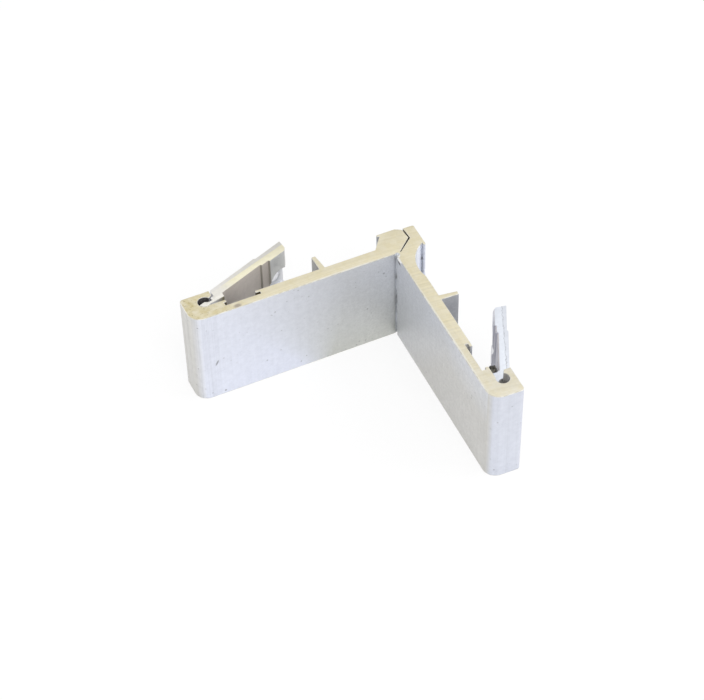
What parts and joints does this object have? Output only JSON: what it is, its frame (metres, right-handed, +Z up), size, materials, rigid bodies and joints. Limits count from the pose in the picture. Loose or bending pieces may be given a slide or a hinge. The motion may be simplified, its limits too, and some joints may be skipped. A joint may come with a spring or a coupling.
{
  "type": "crimp corner cleat",
  "caption": "Extruded aluminium corner cleat for a window or door frame mitre: thick L with crimping hollows and fins, and a short hinged locking lever hooked into the end of each arm.",
  "frame": {"origin": "middle of the whole part's box, on the sawn underside", "axes": "+Z up along the extrusion, -X along the first arm, -Y along the second arm within a few degrees"},
  "size_m": [0.065, 0.065, 0.025],
  "materials": {
    "body_aluminium": "mill finish extrusion, sawn top and bottom",
    "left_lever_aluminium": "mill finish extrusion, sheared ends",
    "right_lever_aluminium": "mill finish extrusion, sheared ends"
  },
  "bodies": {
    "cleat_body": {"cleat_body": "body_aluminium"},
    "left_lever": {"left_lever": "left_lever_aluminium"},
    "right_lever": {"right_lever": "right_lever_aluminium"}
  },
  "joints": [
    {"name": "left_lever_hinge", "type": "hinge", "parent": "cleat_body", "child": "left_lever", "pos_m": [-0.02755, 0.02187, 0.0169], "axis": [0, 0, -1], "range_deg": [-3, 11]},
    {"name": "right_lever_hinge", "type": "hinge", "parent": "cleat_body", "child": "right_lever", "pos_m": [0.01971, -0.0275, 0.0139], "axis": [0, 0, 1], "range_deg": [0, 14]}
  ]
}
